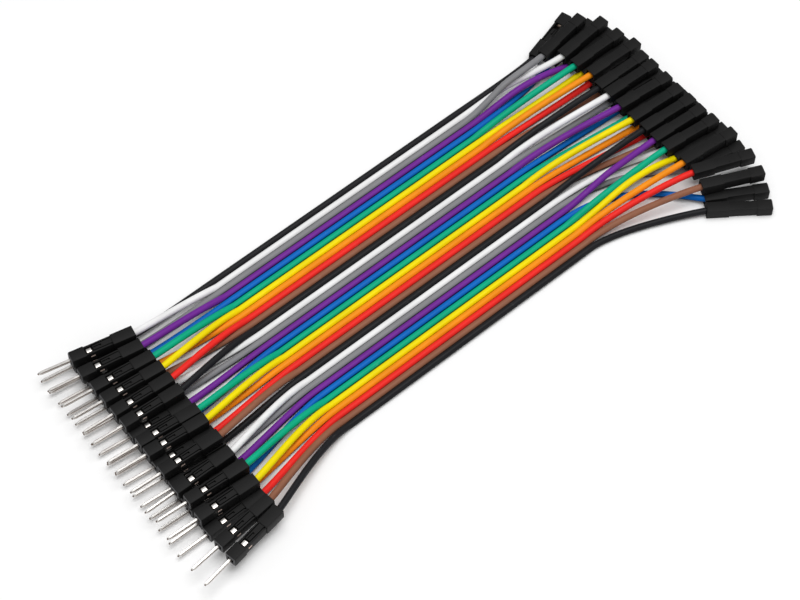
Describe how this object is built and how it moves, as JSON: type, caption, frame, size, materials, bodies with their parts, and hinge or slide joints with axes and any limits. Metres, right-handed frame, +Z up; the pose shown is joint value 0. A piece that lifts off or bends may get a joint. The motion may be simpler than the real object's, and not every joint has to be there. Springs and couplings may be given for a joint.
{
  "type": "breadboard jumper wire",
  "caption": "Flat bonded ribbon of multicoloured insulated jumper wires, fanning out into single-way black housings with square pins at one end and sockets at the other.",
  "frame": {"origin": "bottom centre of the box around all connector housings and contacts, on the surface that the ribbon lies on", "axes": "+X along the wires, from the pin end to the socket end; +Y across the ribbon, towards its first black wire; +Z up, away from the surface"},
  "size_m": [0.1532, 0.0678, 0.0054],
  "materials": {
    "housing_nylon": "moulded, satin black nylon",
    "contact_metal": "bright tinned phosphor bronze, sheared edges bare",
    "insulation_black": "soft satin PVC",
    "insulation_white": "soft satin PVC",
    "insulation_grey": "soft satin PVC",
    "insulation_purple": "soft satin PVC",
    "insulation_blue": "soft satin PVC",
    "insulation_green": "soft satin PVC",
    "insulation_yellow": "soft satin PVC",
    "insulation_orange": "soft satin PVC",
    "insulation_red": "soft satin PVC",
    "insulation_brown": "soft satin PVC"
  },
  "bodies": {
    "root": {"ribbon_cable": "insulation_red", "male_plug_01": "housing_nylon", "male_plug_02": "housing_nylon", "male_plug_03": "housing_nylon", "male_plug_04": "housing_nylon", "male_plug_05": "housing_nylon", "male_plug_06": "housing_nylon", "male_plug_07": "housing_nylon", "male_plug_08": "housing_nylon", "male_plug_09": "housing_nylon", "male_plug_10": "housing_nylon", "male_plug_11": "housing_nylon", "male_plug_12": "housing_nylon", "male_plug_13": "housing_nylon", "male_plug_14": "housing_nylon", "male_plug_15": "housing_nylon", "male_plug_16": "housing_nylon", "male_plug_17": "housing_nylon", "male_plug_18": "housing_nylon", "male_plug_19": "housing_nylon", "male_plug_20": "housing_nylon", "male_plug_21": "housing_nylon", "male_plug_22": "housing_nylon", "male_plug_23": "housing_nylon", "male_plug_24": "housing_nylon", "male_plug_25": "housing_nylon", "male_plug_26": "housing_nylon", "male_plug_27": "housing_nylon", "male_plug_28": "housing_nylon", "male_plug_29": "housing_nylon", "male_plug_30": "housing_nylon", "male_plug_31": "housing_nylon", "female_socket_01": "housing_nylon", "female_socket_02": "housing_nylon", "female_socket_03": "housing_nylon", "female_socket_04": "housing_nylon", "female_socket_05": "housing_nylon", "female_socket_06": "housing_nylon", "female_socket_07": "housing_nylon", "female_socket_08": "housing_nylon", "female_socket_09": "housing_nylon", "female_socket_10": "housing_nylon", "female_socket_11": "housing_nylon", "female_socket_12": "housing_nylon", "female_socket_13": "housing_nylon", "female_socket_14": "housing_nylon", "female_socket_17": "housing_nylon", "female_socket_21": "housing_nylon", "female_socket_23": "housing_nylon", "female_socket_24": "housing_nylon", "female_socket_25": "housing_nylon", "female_socket_26": "housing_nylon", "female_socket_27": "housing_nylon", "female_socket_28": "housing_nylon", "female_socket_29": "housing_nylon", "female_socket_30": "housing_nylon", "female_socket_31": "housing_nylon", "female_socket_15_16": "housing_nylon", "female_socket_18_19": "housing_nylon", "female_socket_20_22": "housing_nylon"}
  },
  "joints": []
}
